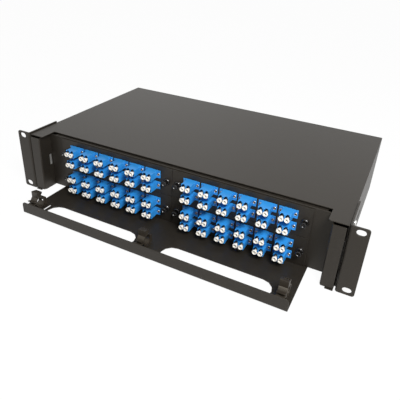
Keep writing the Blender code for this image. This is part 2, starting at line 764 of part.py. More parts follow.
def adapter_plate(rack, name, side, x, z):
    """A blank plate with twelve cut-outs and a moulded collar round each plunger."""
    plate = piece(
        f"adapter_plate_{name}",
        block((x - PLATE_WIDTH / 2, x + PLATE_WIDTH / 2), (PLATE_Y, PLATE_Y + SHEET),
              (z - PLATE_HEIGHT / 2, z + PLATE_HEIGHT / 2)),
        black_powder(), rack,
    )
    collars = [
        turned([(PLATE_Y - GROMMET_STAND, GROMMET_FACE_RADIUS), (PLATE_Y - GROMMET_STAND / 2, GROMMET_RADIUS),
                (PLATE_Y + OVERLAP, GROMMET_RADIUS)], "y", (hole_x, hole_z), 12)
        for _, hole_x, hole_z in plunger_places(side, x, z)
    ]
    join(plate, *collars)
    half_width = ADAPTER_BODY_WIDTH / 2 + ADAPTER_FIT
    half_height = ADAPTER_BODY_HEIGHT / 2 + ADAPTER_FIT
    cuts = [
        block((at - half_width, at + half_width), (PLATE_Y - SHEET, PLATE_Y + 2 * SHEET),
              (row - half_height, row + half_height))
        for at in adapter_places(side)
        for row in (z - ADAPTER_ROW_PITCH / 2, z + ADAPTER_ROW_PITCH / 2)
    ]
    radius = PLUNGER_STEM_RADIUS + PLUNGER_FIT
    cuts += [
        turned([(PLATE_Y - 2 * GROMMET_STAND, radius), (PLATE_Y + 2 * SHEET, radius)], "y", (hole_x, hole_z), 12)
        for _, hole_x, hole_z in plunger_places(side, x, z)
    ]
    cut(plate, *cuts)


def plunger(rack, name, x, z):
    head = PLUNGER_HEAD_Y + PLUNGER_HEAD_LENGTH
    profile = [
        (PLUNGER_HEAD_Y, PLUNGER_FACE_RADIUS), (PLUNGER_HEAD_Y + PLUNGER_HEAD_LENGTH / 2, PLUNGER_HEAD_RADIUS),
        (head, PLUNGER_HEAD_RADIUS), (head, PLUNGER_STEM_RADIUS), (PLUNGER_STEM_REAR, PLUNGER_STEM_RADIUS),
    ]
    piece(f"plunger_{name}", turned(profile, "y", (x, z), 12), black_plastic(), rack)


def adapter_row(rack, name, side, z):
    """Six duplex adapters in a row with a dust cap in each port.

    Each is a body that passes through the plate, with a flange in front of it. A thin strip behind the plate
    joins the six, so that the row is one solid.
    """
    places = adapter_places(side)
    half = ADAPTER_BODY_WIDTH / 2
    rise = ADAPTER_BODY_HEIGHT / 2
    link_y = FRAME_Y
    link = block(
        (min(places), max(places)), (link_y, link_y + ADAPTER_LINK_THICKNESS),
        (z - ADAPTER_LINK_HEIGHT / 2, z + ADAPTER_LINK_HEIGHT / 2),
    )
    row = piece(f"adapters_{name}", link, adapter_blue(), rack)
    bodies = [
        block((x - half, x + half), (ADAPTER_FRONT_Y, ADAPTER_REAR_Y), (z - rise, z + rise)) for x in places
    ]
    flanges = [
        block(
            (x - ADAPTER_FLANGE_WIDTH / 2, x + ADAPTER_FLANGE_WIDTH / 2),
            (ADAPTER_FLANGE_Y, ADAPTER_FLANGE_Y + ADAPTER_FLANGE_THICKNESS),
            (z - ADAPTER_FLANGE_HEIGHT / 2, z + ADAPTER_FLANGE_HEIGHT / 2),
        )
        for x in places
    ]
    caps = [
        turned([(CAP_FRONT_Y, CAP_RADIUS), (ADAPTER_FRONT_Y + OVERLAP, CAP_NECK_RADIUS)], "y",
               (x + offset, z), CAP_SIDES)
        for x in places
        for offset in (-CAP_PITCH / 2, CAP_PITCH / 2)
    ]
    join(row, *bodies)
    join(row, *flanges)
    join(row, *caps)


# Cable clips

def clip_point(angle, radius):
    """A point (y, z) about the ring's centre, with the angle in degrees from the back over the top."""
    return (CLIP_Y + radius * cos(radians(angle)), CLIP_Z + radius * sin(radians(angle)))


def clip_hinge(x):
    return (x, *clip_point(CLIP_PIN_ANGLE, CLIP_RADIUS))


def ring_part(x, half_width, start, end, steps):
    """A stretch of the clip's ring, closed across the wall."""
    outline = arc(CLIP_Y, CLIP_Z, CLIP_RADIUS, start, end, steps)
    outline += arc(CLIP_Y, CLIP_Z, CLIP_RADIUS - CLIP_WALL, end, start, steps)
    return prism(outline, "x", x - half_width, x + half_width)


def tongue(x, angle, rise):
    """A flat lead-in that runs forwards from the ring's split, up or down by the rise."""
    y, z = clip_point(angle, CLIP_RADIUS - CLIP_WALL / 2)
    thick = CLIP_TONGUE_THICKNESS if rise > 0 else -CLIP_TONGUE_THICKNESS
    tip = y - CLIP_TONGUE_REACH
    outline = [(y, z), (y, z + thick), (tip, z + thick + rise), (tip, z + rise)]
    return prism(outline, "x", x - CLIP_WIDTH / 2, x + CLIP_WIDTH / 2)


def clip_base(rack, name, x):
    """A foot on the shelf, the lower half of the ring, and two cheeks that carry the hinge pin."""
    half = CLIP_WIDTH / 2
    _, pin_y, pin_z = clip_hinge(x)
    low = CLIP_FLOOR
    high = low + CLIP_FOOT
    foot = block((x - half, x + half), (CLIP_Y - CLIP_RADIUS, pin_y + CLIP_KNUCKLE), (low, high))
    base = piece(f"clip_base_{name}", foot, black_plastic(), rack)
    join(base, ring_part(x, half, CLIP_SPLIT + CLIP_SPLIT_GAP, CLIP_REAR_END, 13))
    join(base, tongue(x, CLIP_SPLIT + CLIP_SPLIT_GAP, -CLIP_TONGUE_RISE))
    cheek = [(pin_y - CLIP_KNUCKLE, high - OVERLAP), (pin_y + CLIP_KNUCKLE, high - OVERLAP)]
    cheek += arc(pin_y, pin_z, CLIP_KNUCKLE, 0, 180, 6)
    cheeks = [prism(cheek, "x", side, side + CLIP_CHEEK) for side in (x - half, x + half - CLIP_CHEEK)]
    join(base, *cheeks)
    pin = turned([(x - half + CLIP_CHEEK / 2, CLIP_PIN_RADIUS), (x + half - CLIP_CHEEK / 2, CLIP_PIN_RADIUS)],
                 "x", (pin_y, pin_z), 12)
    join(base, pin)


def ring_height(y):
    """How high the middle of the ring's wall is over a place in its upper half."""
    return CLIP_Z + sqrt((CLIP_RADIUS - CLIP_WALL / 2) ** 2 - (y - CLIP_Y) ** 2)


def finger_tab(x):
    """An upright on the ring that widens into a ledge, which falls a little towards the back."""
    front = CLIP_Y - CLIP_TAB_FRONT
    neck = front + CLIP_TAB_NECK
    back = front + CLIP_TAB_DEPTH
    rear_top = CLIP_PEAK - CLIP_TAB_FALL
    profile = [
        (front, ring_height(front)), (front, CLIP_PEAK), (front + CLIP_TAB_EDGE, CLIP_PEAK), (back, rear_top),
        (back, rear_top - CLIP_LEDGE), (neck, ring_height(neck)),
    ]
    return prism(profile, "x", x - CLIP_WIDTH / 2, x + CLIP_WIDTH / 2)


def ledge_notches(x):
    """A row of blind notches along the back of the ledge."""
    back = CLIP_Y - CLIP_TAB_FRONT + CLIP_TAB_DEPTH - CLIP_NOTCH_EDGE
    floor = CLIP_PEAK - CLIP_TAB_FALL - CLIP_NOTCH_DEPTH
    first = x - (CLIP_NOTCHES - 1) * CLIP_NOTCH_PITCH / 2
    places = [first + k * CLIP_NOTCH_PITCH for k in range(CLIP_NOTCHES)]
    half = CLIP_NOTCH_WIDTH / 2
    return [
        block((at - half, at + half), (back - CLIP_NOTCH_LENGTH, back), (floor, CLIP_PEAK)) for at in places
    ]


def clip_gate(rack, name, x):
    """The upper half of the ring on its hinge, with a finger tab whose ledge ends in a row of notches."""
    hinge = empty(f"clip_hinge_{name}", clip_hinge(x), rack)
    _, pin_y, pin_z = clip_hinge(x)
    half = CLIP_WIDTH / 2
    narrow = half - CLIP_CHEEK - GAP
    gate = piece(
        f"clip_gate_{name}", ring_part(x, half, CLIP_ARM_START, CLIP_SPLIT, 12), black_plastic(), hinge
    )
    join(gate, tongue(x, CLIP_SPLIT, CLIP_TONGUE_RISE))
    join(gate, ring_part(x, narrow, CLIP_PIN_ANGLE, CLIP_ARM_START + CLIP_PIN_ANGLE, 3))
    join(gate, turned([(x - narrow, CLIP_KNUCKLE), (x + narrow, CLIP_KNUCKLE)], "x", (pin_y, pin_z), 12))
    join(gate, finger_tab(x))
    bore = CLIP_PIN_RADIUS + GAP
    cut(gate, turned([(x - CLIP_WIDTH, bore), (x + CLIP_WIDTH, bore)], "x", (pin_y, pin_z), 12))
    cut(gate, *ledge_notches(x))


# Inside the drawer

def splice_tray(rack):
    """A shallow tray for spliced fibres with its lid, held by a stud on the drawer floor and a knob."""
    x = (-TRAY_WIDTH / 2, TRAY_WIDTH / 2)
    y = (TRAY_Y - TRAY_DEPTH / 2, TRAY_Y + TRAY_DEPTH / 2)
    low = DRAWER_FLOOR + TRAY_STAND
    high = low + TRAY_HEIGHT
    tray = piece("splice_tray", prism(rounded(x, y, TRAY_CORNER, 5), "z", low, high), tray_plastic(), rack)
    inner_x = (x[0] + TRAY_WALL, x[1] - TRAY_WALL)
    inner_y = (y[0] + TRAY_WALL, y[1] - TRAY_WALL)
    pocket = rounded(inner_x, inner_y, TRAY_CORNER - TRAY_WALL, 5)
    cut(tray, prism(pocket, "z", low + TRAY_WALL, high + TRAY_WALL))
    boss = STUD_RADIUS + GAP + TRAY_WALL
    foot = DRAWER_FLOOR + GAP
    join(tray, turned([(foot, boss), (high - GAP, boss)], "z", (0, TRAY_Y)))
    hole = STUD_RADIUS + GAP
    cut(tray, turned([(foot - GAP, hole), (high + GAP, hole)], "z", (0, TRAY_Y)))
    lid_low = high + GAP
    lid = piece(
        "splice_tray_lid", prism(rounded(x, y, TRAY_CORNER, 5), "z", lid_low, lid_low + LID_THICKNESS),
        tray_plastic(), rack,
    )
    cut(lid, turned([(high, hole), (lid_low + 2 * LID_THICKNESS, hole)], "z", (0, TRAY_Y)))
    seat = lid_low + LID_THICKNESS + GAP
    stud_top = seat + KNOB_LENGTH + STUD_STAND
    piece(
        "splice_stud", turned([(foot, STUD_RADIUS), (stud_top, STUD_RADIUS)], "z", (0, TRAY_Y)), zinc(), rack
    )
    knob = piece(
        "splice_knob",
        turned([(seat, KNOB_RADIUS), (seat + KNOB_LENGTH, KNOB_TOP_RADIUS)], "z", (0, TRAY_Y)),
        black_plastic(), rack,
    )
    cut(knob, turned([(seat - GAP, hole), (seat + 2 * KNOB_LENGTH, hole)], "z", (0, TRAY_Y)))


def fibre_guide(rack, side):
    """A half-round wall that fibres are wound against, with a foot and an outward rim."""
    centre = (side * GUIDE_X, GUIDE_Y)
    low = DRAWER_FLOOR + GAP
    profile = [
        (low, GUIDE_RADIUS + GUIDE_RIM), (low + GUIDE_FOOT, GUIDE_RADIUS + GUIDE_RIM),
        (low + GUIDE_FOOT, GUIDE_RADIUS), (low + GUIDE_HEIGHT, GUIDE_RADIUS),
        (low + GUIDE_HEIGHT, GUIDE_RADIUS + GUIDE_RIM),
        (low + GUIDE_HEIGHT + GUIDE_FOOT, GUIDE_RADIUS + GUIDE_RIM),
    ]
    guide = piece(f"fibre_guide_{side_name(side)}", turned(profile, "z", centre, 24), black_plastic(), rack)
    inner = GUIDE_RADIUS - GUIDE_WALL
    reach = 2 * GUIDE_RADIUS
    centre_cut = turned([(low - GAP, inner), (low + 2 * GUIDE_HEIGHT, inner)], "z", centre, 24)
    half_cut = block(
        span(side, GUIDE_X - reach, GUIDE_X), (GUIDE_Y - reach, GUIDE_Y + reach), (low - GAP, low + 2 * GUIDE_HEIGHT)
    )
    cut(guide, centre_cut)
    cut(guide, half_cut)


def build():
    clear_scene()
    rack = empty("rack_face", (0, ORIGIN_Y, 0))
    chassis_base(rack)
    rear_panel(rack)
    top_cover(rack)
    shelf_tray(rack)
    drawer_back(rack)
    adapter_frame(rack)
    for side in (-1, 1):
        rack_ear(rack, side)
        ear_screws(rack, side)
        cable_gland(rack, side)
        blanking_plug(rack, side)
        slides(rack, side)
        drawer_side(rack, side)
        fibre_guide(rack, side)
    for name, side, x, z in plate_centres():
        adapter_plate(rack, name, side, x, z)
        for end, hole_x, hole_z in plunger_places(side, x, z):
            plunger(rack, f"{name}_{end}", hole_x, hole_z)
        adapter_row(rack, f"{name}_upper_row", side, z + ADAPTER_ROW_PITCH / 2)
        adapter_row(rack, f"{name}_lower_row", side, z - ADAPTER_ROW_PITCH / 2)
    for name, x in zip(("left", "centre", "right"), CLIP_X):
        clip_base(rack, name, x)
        clip_gate(rack, name, x)
    splice_tray(rack)


build()
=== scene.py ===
"""Dresses the two-unit sliding fibre patch drawer for a catalogue picture.

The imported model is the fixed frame. Its folded sheets, slides, clips, locknuts, splice tray and guides are
shown as copies with softened edges. The adapters, dust caps, latches, glands, plugs, stops, screws and knob
are worked out here as surfaces. Lengths are in metres, X to the right of the rack, Y to its back and Z up.
"""

import json
from functools import wraps
from math import atan2, pi, radians

import bmesh
import bpy
import numpy as np
from bpy.props import FloatProperty, FloatVectorProperty, IntProperty, PointerProperty
from bpy.types import Operator, Panel, PropertyGroup
from mathutils import Matrix, Vector

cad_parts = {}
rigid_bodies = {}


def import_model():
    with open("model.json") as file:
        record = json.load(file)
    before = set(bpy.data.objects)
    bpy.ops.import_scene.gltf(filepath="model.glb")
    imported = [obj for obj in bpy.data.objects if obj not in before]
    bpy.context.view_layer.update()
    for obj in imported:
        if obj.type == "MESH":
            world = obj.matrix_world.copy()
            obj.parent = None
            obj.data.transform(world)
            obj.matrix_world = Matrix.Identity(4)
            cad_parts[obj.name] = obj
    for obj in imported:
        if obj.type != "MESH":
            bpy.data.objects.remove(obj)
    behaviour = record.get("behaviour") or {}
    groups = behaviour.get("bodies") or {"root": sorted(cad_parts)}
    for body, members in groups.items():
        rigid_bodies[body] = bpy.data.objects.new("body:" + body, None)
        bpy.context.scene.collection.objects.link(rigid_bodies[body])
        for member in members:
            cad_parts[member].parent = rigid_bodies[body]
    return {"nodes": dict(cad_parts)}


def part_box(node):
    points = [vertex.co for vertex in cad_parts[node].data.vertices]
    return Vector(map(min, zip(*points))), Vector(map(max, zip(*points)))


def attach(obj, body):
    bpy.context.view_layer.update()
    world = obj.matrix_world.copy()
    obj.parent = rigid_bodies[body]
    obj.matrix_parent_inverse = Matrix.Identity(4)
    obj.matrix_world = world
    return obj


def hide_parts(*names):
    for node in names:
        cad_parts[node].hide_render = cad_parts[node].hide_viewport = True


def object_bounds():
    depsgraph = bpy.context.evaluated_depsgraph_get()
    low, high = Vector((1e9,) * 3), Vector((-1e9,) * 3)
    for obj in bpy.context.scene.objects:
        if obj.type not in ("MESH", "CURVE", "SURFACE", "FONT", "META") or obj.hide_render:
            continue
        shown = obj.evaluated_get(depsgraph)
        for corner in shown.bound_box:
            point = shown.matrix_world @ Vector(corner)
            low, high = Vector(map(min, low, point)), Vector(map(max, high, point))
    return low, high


bl_info = {
    "name": "Fibre patch drawer",
    "version": (1, 0, 0),
    "blender": (4, 5, 0),
    "location": "View3D > Sidebar > Patch drawer",
    "description": "Finishes and fine pieces for a sliding fibre patch drawer",
    "category": "Object",
}

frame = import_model()
CAD_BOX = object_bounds()

SIDES = ("left", "right")
LEVELS = ("upper", "lower")
PLATES = [f"{level}_{side}" for level in LEVELS for side in SIDES]
ROWS = [(plate, level) for plate in PLATES for level in LEVELS]
CLIPS = ("left", "centre", "right")

SHEET = 0.0012
GAP = 0.0003
# Corners of a mesh that are closer together than this are the same corner.
DOUBLES = 1e-6
# Corners of a solid that are closer together than this become one, since an edge's rounding is no wider than
# the shortest edge beside it lets it be.
SHORT_EDGE = 0.00006
FLAT_WITHIN = radians(0.5)
SMOOTH_BELOW = radians(35)
# An adapter's ears start this far inside its body.
EAR_LAP = 0.0004
# The least number that a length is divided by.
LEAST = 1e-9
# Nearly all of a noise lies between these values.
NOISE_LOW, NOISE_HIGH = 0.3, 0.7
# Each lamp's place, the point it is aimed at, its diameter and the setting that holds its power.
LAMPS = {
    "key_lamp": ((0.52, -0.58, 0.84), (0.04, -0.1, 0.04), 0.38, "key"),
    "back_lamp": ((-0.8, 1.1, 0.9), (-0.05, 0.05, 0.08), 1.0, "back"),
    "side_lamp": ((1.3, -0.75, 0.55), (0.1, -0.15, 0.04), 0.5, "side"),
}


# Settings

class PatchFinishSettings(PropertyGroup):
    powder: FloatVectorProperty(
        name="Powder coat", description="Colour of the coated sheet metal",
        subtype="COLOR", size=3, min=0, max=1, default=(0.0150, 0.0125, 0.0095),
    )
    powder_grain: FloatProperty(
        name="Grain", description="Size of the powder coat's grain",
        unit="LENGTH", default=0.0012, min=0.0001,
    )
    nylon: FloatVectorProperty(
        name="Black nylon", description="Colour of the latches, glands, plugs, stops and guides",
        subtype="COLOR", size=3, min=0, max=1, default=(0.008, 0.0075, 0.0075),
    )
    clip: FloatVectorProperty(
        name="Clip", description="Colour of the hinged cable clips",
        subtype="COLOR", size=3, min=0, max=1, default=(0.024, 0.019, 0.014),
    )
    adapter: FloatVectorProperty(
        name="Adapter", description="Colour of the duplex adapters",
        subtype="COLOR", size=3, min=0, max=1, default=(0.026, 0.250, 0.64),
    )
    # Inside the ports and latch slots a darker blue is painted as their shade; the polymer there is the same
    # blue as outside.
    pocket: FloatVectorProperty(
        name="Port lining", description="Colour inside the adapters' ports",
        subtype="COLOR", size=3, min=0, max=1, default=(0.005, 0.022, 0.085),
    )
    cap: FloatVectorProperty(
        name="Dust cap", description="Colour of the dust caps",
        subtype="COLOR", size=3, min=0, max=1, default=(0.86, 0.83, 0.765),
    )
    zinc: FloatVectorProperty(
        name="Zinc plate", description="Colour of the slides, screws and stud",
        subtype="COLOR", size=3, min=0, max=1, default=(0.60, 0.60, 0.57),
    )
    eyelet: FloatVectorProperty(
        name="Eyelet", description="Colour of the adapters' pressed eyelets",
        subtype="COLOR", size=3, min=0, max=1, default=(0.36, 0.33, 0.29),
    )
    tray: FloatVectorProperty(
        name="Splice tray", description="Colour of the splice tray and its lid",
        subtype="COLOR", size=3, min=0, max=1, default=(0.70, 0.70, 0.67),
    )


class PatchSheetSettings(PropertyGroup):
    edge: FloatProperty(
        name="Sheet edge", description="Rounding of the folded and punched edges",
        unit="LENGTH", default=0.00028, min=0,
    )
    moulded_edge: FloatProperty(
        name="Moulded edge", description="Rounding of the edges of the clips and splice gear",
        unit="LENGTH", default=0.0003, min=0,
    )
    slide_edge: FloatProperty(
        name="Slide edge", description="Rounding of the rolled edges of the slides",
        unit="LENGTH", default=0.0002, min=0,
    )


class PatchAdapterSettings(PropertyGroup):
    columns: IntProperty(
        name="Adapters in a row", description="Adapters in one row of a plate", default=6, min=2,
    )
    flange_width: FloatProperty(
        name="Flange width", description="Width of an adapter's mounting flange",
        unit="LENGTH", default=0.0223,
    )
    flange_thickness: FloatProperty(
        name="Flange thickness", description="Thickness of the mounting flange",
        unit="LENGTH", default=0.0014,
    )
    body_width: FloatProperty(
        name="Body width", description="Width of the adapter's body", unit="LENGTH", default=0.0130,
    )
    body_height: FloatProperty(
        name="Body height", description="Height of the adapter's body", unit="LENGTH", default=0.0098,
    )
    port_pitch: FloatProperty(
        name="Port pitch", description="Distance between the two ports", unit="LENGTH", default=0.0069,
    )
    port_width: FloatProperty(
        name="Port width", description="Width of a port", unit="LENGTH", default=0.0050,
    )
    latch_width: FloatProperty(
        name="Latch slot width", description="Width of the slot above a port",
        unit="LENGTH", default=0.0028,
    )
    latch_depth: FloatProperty(
        name="Latch slot depth", description="How far the slot above a port runs back",
        unit="LENGTH", default=0.0013,
    )
    flange_height: FloatProperty(
        name="Flange height", description="Height of the mounting flange", unit="LENGTH", default=0.0104,
    )
    port_depth: FloatProperty(
        name="Port depth", description="How far a port runs back", unit="LENGTH", default=0.0100,
    )
    cap_stand: FloatProperty(
        name="Cap stand", description="How far a dust cap stands out of the body",
        unit="LENGTH", default=0.0040,
    )
    cap_radius: FloatProperty(
        name="Cap radius", description="Radius of a dust cap's head", unit="LENGTH", default=0.0032,
    )
    eyelet_radius: FloatProperty(
        name="Eyelet bore", description="Radius of the hole in an eyelet", unit="LENGTH", default=0.0010,
    )
    body_edge: FloatProperty(
        name="Edge", description="Rounding of the adapter's edges",
        unit="LENGTH", default=0.00018, min=0,
    )


class PatchStageSettings(PropertyGroup):
    camera_place: FloatVectorProperty(
        name="Camera", description="Where the camera stands", subtype="TRANSLATION", unit="LENGTH",
        size=3, default=(0.24285, -0.55302, 0.33709),
    )
    azimuth: FloatProperty(
        name="Azimuth", description="Camera's turn to the right of straight in front",
        subtype="ANGLE", default=radians(25.658),
    )
    elevation: FloatProperty(
        name="Elevation", description="Camera's tilt down from level",
        subtype="ANGLE", default=radians(27.68),
    )
    roll: FloatProperty(
        name="Roll", description="Camera's turn about its own line of sight",
        subtype="ANGLE", default=radians(2.89),
    )
    lens: FloatProperty(name="Lens", description="Focal length in millimetres", default=39.69, min=1)
    shift: FloatProperty(
        name="Vertical shift", description="Share of the picture's width that the frame is shifted",
        default=-0.07,
    )
    floor_size: FloatProperty(
        name="Floor", description="Length of the floor's side", unit="LENGTH", default=8.0,
    )
    floor_glow: FloatProperty(
        name="Floor glow", description="Brightness of the part of the floor that no shadow darkens",
        default=1.05, min=0,
    )
    shadow_share: FloatProperty(
        name="Shadow share", description="How much of the object's shadow the floor shows",
        subtype="FACTOR", default=0.08, min=0, max=1,
    )
    fill: FloatProperty(
        name="Sky", description="Strength of the light from all around", default=0.06, min=0,
    )
    key: FloatProperty(
        name="Key lamp", description="Power of the lamp above on the right, in watts",
        default=14.0, min=0,
    )
    back: FloatProperty(
        name="Back lamp", description="Power of the lamp behind on the left, in watts",
        default=0.7, min=0,
    )
    side: FloatProperty(
        name="Side lamp", description="Power of the far lamp on the right, in watts", default=5.0, min=0,
    )


# Surfaces

def lattice(rows, columns, wrap_rows=False):
    """Four-sided faces between neighbours of a lattice that is numbered row by row, closed along each row."""
    row = np.arange(rows if wrap_rows else rows - 1)
    column = np.arange(columns)
    a, b = np.meshgrid(row, column, indexing="ij")
    after, below = (b + 1) % columns, (a + 1) % rows
    corners = [a * columns + b, a * columns + after, below * columns + after, below * columns + b]
    return np.stack(corners, axis=-1).reshape(-1, 4)


def angles(sides):
    """Equal steps of a full turn."""
    return 2 * pi * np.arange(sides) / sides


def turned(profile, centre, sides=16, along="y", ring=False, ribs=None):
    """A surface of revolution: at angle u and station v, a point lies at the profile's distance along the
    axis and at its radius times (cos u, sin u) across it. Radius 0 at an end closes it to a point, and the
    last station of a ring meets its first. Ribs are the stations they run over and a factor on the radius at
    each angle."""
    stations = np.asarray(profile, float)
    u = angles(sides)
    radius = np.repeat(stations[:, 1, None], sides, axis=1)
    if ribs:
        ribbed, factors = ribs
        radius[ribbed] *= factors
    across = radius[..., None] * np.stack([np.cos(u), np.sin(u)], axis=-1)
    length = np.broadcast_to(stations[:, 0, None, None], (len(stations), sides, 1))
    order = {"x": (2, 0, 1), "y": (0, 2, 1), "z": (0, 1, 2)}[along]
    points = np.concatenate([across, length], axis=-1)[..., order].reshape(-1, 3)
    return points + np.asarray(centre, float), [lattice(len(stations), sides, wrap_rows=ring)]


def drawn(outline, front, back):
    """A closed outline of (x, z), carried along Y from front to back, with one face over each end."""
    x, z = np.tile(np.asarray(outline, float), (2, 1)).T
    count = len(outline)
    rim = np.arange(count)
    points = np.stack([x, np.repeat([front, back], count), z], axis=1)
    return points, [lattice(2, count), np.stack([rim[::-1], rim + count])]


def moved(shell, offsets):
    """Copies of a shell, one at each offset."""
    points, faces = shell
    shifts = np.atleast_2d(np.asarray(offsets, float))
    steps = len(points) * np.arange(len(shifts))[:, None, None]
    placed = (points[None] + shifts[:, None]).reshape(-1, 3)
    return placed, [(part[None] + steps).reshape(-1, part.shape[1]) for part in faces]


def gathered(shells):
    """Several shells as one."""
    starts = np.cumsum([0] + [len(points) for points, _ in shells[:-1]])
    points = np.concatenate([points for points, _ in shells])
    return points, [part + start for (_, faces), start in zip(shells, starts) for part in faces]


# Objects

def tidy(mesh):
    """Doubles merged and faces turned outwards."""
    work = bmesh.new()
    work.from_mesh(mesh)
    bmesh.ops.remove_doubles(work, verts=work.verts, dist=DOUBLES)
    bmesh.ops.recalc_face_normals(work, faces=work.faces)
    work.to_mesh(mesh)
    work.free()


def soften(item, width, segments=2):
    """Rounds every edge sharper than SMOOTH_BELOW and keeps the flat faces flat."""
    bevel = item.modifiers.new("Edges", "BEVEL")
    bevel.width = width
    bevel.segments = segments
    bevel.limit_method = "ANGLE"
    bevel.angle_limit = SMOOTH_BELOW
    bevel.use_clamp_overlap = True
    shading = item.modifiers.new("Shading", "WEIGHTED_NORMAL")
    shading.keep_sharp = True


def shaped(name, shell, material, body, edge=0.0, stands_for=(), painted_shade=None):
    """One named piece from a shell, which rides on a body of the frame. Where a painted shade is given, the
    second of its groups of faces gets that material of its own, a darker colour painted in as shade."""
    points, faces = shell
    mesh = bpy.data.meshes.new(name)
    mesh.from_pydata(points.tolist(), [], [tuple(face) for part in faces for face in part.tolist()])
    mesh.materials.append(material)
    # The faces inside the ports take a darker material as painted shade.
    if painted_shade:
        mesh.materials.append(painted_shade)
        group = np.repeat(np.arange(len(faces)), [len(part) for part in faces])
        mesh.polygons.foreach_set("material_index", (group == 1).astype(np.int32))
    tidy(mesh)
    item = bpy.data.objects.new(name, mesh)
    bpy.context.scene.collection.objects.link(item)
    mesh.shade_smooth()
    if edge:
        soften(item, edge)
    else:
        mesh.set_sharp_from_angle(angle=SMOOTH_BELOW)
    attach(item, body)
    if stands_for:
        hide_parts(*stands_for)
    return item


def body_of(node):
    """The body that a node of the frame belongs to."""
    return frame["nodes"][node].parent.name.removeprefix("body:")


def middle_line(low, high):
    """The line along Y through the middle of a box, as its point at y = 0."""
    return (low.x + high.x) / 2, 0, (low.z + high.z) / 2


def plate_face(plate):
    """The front face of an adapter plate's sheet, in Y."""
    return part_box(f"adapter_plate_{plate}")[1].y - SHEET


def softened(node, width, material):
    """A copy of a node in its place, with its triangles joined into whole faces and its edges rounded."""
    mesh = frame["nodes"][node].data.copy()
    mesh.name = f"{node}_finished"
    work = bmesh.new()
    work.from_mesh(mesh)
    bmesh.ops.remove_doubles(work, verts=work.verts, dist=DOUBLES)
    bmesh.ops.dissolve_limit(work, angle_limit=FLAT_WITHIN, verts=work.verts, edges=work.edges)
    bmesh.ops.remove_doubles(work, verts=work.verts, dist=SHORT_EDGE)
    work.to_mesh(mesh)
    work.free()
    mesh.materials.clear()
    mesh.materials.append(material)
    mesh.shade_smooth()
    item = bpy.data.objects.new(mesh.name, mesh)
    bpy.context.scene.collection.objects.link(item)
    soften(item, width)
    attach(item, body_of(node))
    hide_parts(node)
    return item


# Finishes

def set_inputs(node, values):
    """Sets a shader node's inputs, whose names are given with _ for a space."""
    for name, value in values.items():
        node.inputs[name.replace("_", " ")].default_value = value


class Finish:
    """A node material under way, which starts with a Principled shader and the object's own coordinates."""

    def __init__(self, name, **sockets):
        self.material = bpy.data.materials.new(name)
        self.material.use_nodes = True
        self.tree = self.material.node_tree
        self.shader = self.tree.nodes["Principled BSDF"]
        set_inputs(self.shader, sockets)
        self.place = self.add("ShaderNodeTexCoord").outputs["Object"]
        self.normal = None

    def add(self, kind, **sockets):
        node = self.tree.nodes.new(kind)
        set_inputs(node, sockets)
        return node

    def link(self, source, node, socket):
        self.tree.links.new(source, node.inputs[socket])

    def stretched(self, scale):
        """The coordinates drawn out along one axis, for a brushed or rolled grain."""
        mapping = self.add("ShaderNodeMapping", Scale=scale)
        self.link(self.place, mapping, "Vector")
        return mapping.outputs["Vector"]

    def noise(self, size, detail=2.0, place=None):
        """Noise whose grains are about the given size."""
        noise = self.add("ShaderNodeTexNoise", Scale=1 / size, Detail=detail)
        self.link(place or self.place, noise, "Vector")
        return noise.outputs["Fac"]

    def bumpy(self, height, strength, distance):
        """Adds a height to the bumps so far."""
        bump = self.add("ShaderNodeBump", Strength=strength, Distance=distance)
        self.link(height, bump, "Height")
        if self.normal:
            self.link(self.normal, bump, "Normal")
        self.normal = bump.outputs["Normal"]
        self.link(self.normal, self.shader, "Normal")

    def vary_roughness(self, source, low, high):
        """The roughness between two values, by a noise."""
        span = self.add("ShaderNodeMapRange",
                        From_Min=NOISE_LOW, From_Max=NOISE_HIGH, To_Min=low, To_Max=high)
        self.link(source, span, "Value")
        self.link(span.outputs["Result"], self.shader, "Roughness")

    def vary_colour(self, source, colour, darker, lighter):
        """The colour between two shades of itself, by a noise."""
        ramp = self.add("ShaderNodeValToRGB")
        first, last = ramp.color_ramp.elements
        first.position, last.position = NOISE_LOW, NOISE_HIGH
        first.color = (*[value * darker for value in colour], 1)
        last.color = (*[min(1.0, value * lighter) for value in colour], 1)
        self.link(source, ramp, "Fac")
        self.link(ramp.outputs["Color"], self.shader, "Base Color")


def made_once(make):
    """A finish is made from the settings at its first use, and found by its own name after that."""
    @wraps(make)
    def found_or_made():
        return bpy.data.materials.get(make.__name__) or make(bpy.context.scene.patch_finish)
    return found_or_made


@made_once
def powder_coat(settings):
    """Satin black powder coat: one fine grain in its colour, its gloss and its bumps."""
    finish = Finish("powder_coat", Roughness=0.44, IOR=1.5, Specular_IOR_Level=0.42,
                    Specular_Tint=(1.0, 0.94, 0.86, 1.0))
    grain = finish.noise(settings.powder_grain)
    finish.vary_colour(grain, settings.powder, 0.72, 1.30)
    finish.vary_roughness(finish.noise(settings.powder_grain, 1), 0.40, 0.48)
    finish.bumpy(grain, 0.40, 0.0001)
    return finish.material


@made_once
def zinc_plate(settings):
    """Bright zinc on cold-rolled steel, brushed along the slides."""
    finish = Finish("zinc_plate", Metallic=0.75, Roughness=0.36)
    brushed = finish.stretched((1.0, 0.03, 1.0))
    finish.vary_colour(finish.noise(0.012, 4), settings.zinc, 0.90, 1.06)
    finish.vary_roughness(finish.noise(0.0008, place=brushed), 0.30, 0.40)
    finish.bumpy(finish.noise(0.0006, place=brushed), 0.04, 0.00002)
    return finish.material


@made_once
def black_nylon(settings):
    """Glossy black nylon with the faint waves of a moulding."""
    finish = Finish("black_nylon", Roughness=0.22, IOR=1.53)
    finish.vary_colour(finish.noise(0.010), settings.nylon, 0.85, 1.20)
    finish.vary_roughness(finish.noise(0.004, 3), 0.17, 0.28)
    finish.bumpy(finish.noise(0.0025), 0.10, 0.0001)
    return finish.material


